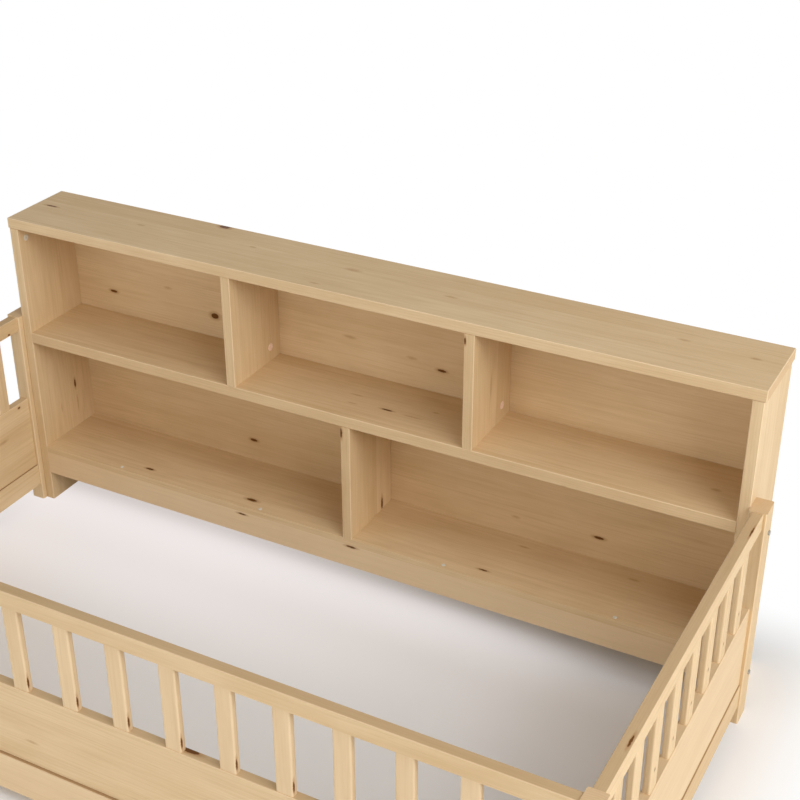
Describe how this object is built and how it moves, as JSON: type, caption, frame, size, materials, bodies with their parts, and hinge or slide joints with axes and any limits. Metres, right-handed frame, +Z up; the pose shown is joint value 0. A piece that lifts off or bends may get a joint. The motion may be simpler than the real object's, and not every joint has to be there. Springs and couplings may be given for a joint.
{
  "type": "bookcase headboard bed",
  "caption": "Low wooden floor bed frame: slatted guards above solid boards, with an open bookcase along its whole long side.",
  "frame": {"origin": "on the floor, under the middle of the whole bed's footprint", "axes": "+X along the bookcase to the right as seen from the open front, +Y from the front guard to the back of the bookcase, +Z up"},
  "size_m": [2.088, 1.217, 0.86],
  "materials": {
    "natural_pine": "satin clear finish over pale knotty wood",
    "steel": "zinc plated"
  },
  "bodies": {
    "root": {"back_panel_lower": "natural_pine", "back_panel_upper": "natural_pine", "bottom_shelf": "natural_pine", "case_bolts": "steel", "front_apron": "natural_pine", "front_board": "natural_pine", "front_lower_rail": "natural_pine", "front_slat_01": "natural_pine", "front_slat_02": "natural_pine", "front_slat_03": "natural_pine", "front_slat_04": "natural_pine", "front_slat_05": "natural_pine", "front_slat_06": "natural_pine", "front_slat_07": "natural_pine", "front_slat_08": "natural_pine", "front_slat_09": "natural_pine", "front_slat_10": "natural_pine", "front_slat_11": "natural_pine", "front_slat_12": "natural_pine", "front_slat_13": "natural_pine", "front_slat_14": "natural_pine", "front_slat_15": "natural_pine", "front_slat_16": "natural_pine", "front_top_rail": "natural_pine", "guard_bolts": "steel", "left_board": "natural_pine", "left_lower_rail": "natural_pine", "left_slats": "natural_pine", "left_top_rail": "natural_pine", "lower_divider_1": "natural_pine", "middle_shelf": "natural_pine", "post_front_left": "natural_pine", "post_front_right": "natural_pine", "post_rear_left": "natural_pine", "post_rear_right": "natural_pine", "rear_stretcher": "natural_pine", "right_board": "natural_pine", "right_lower_rail": "natural_pine", "right_slats": "natural_pine", "right_top_rail": "natural_pine", "side_panel_left": "natural_pine", "side_panel_right": "natural_pine", "square_nuts": "steel", "top_board": "natural_pine", "upper_divider_1": "natural_pine", "upper_divider_2": "natural_pine"}
  },
  "joints": []
}
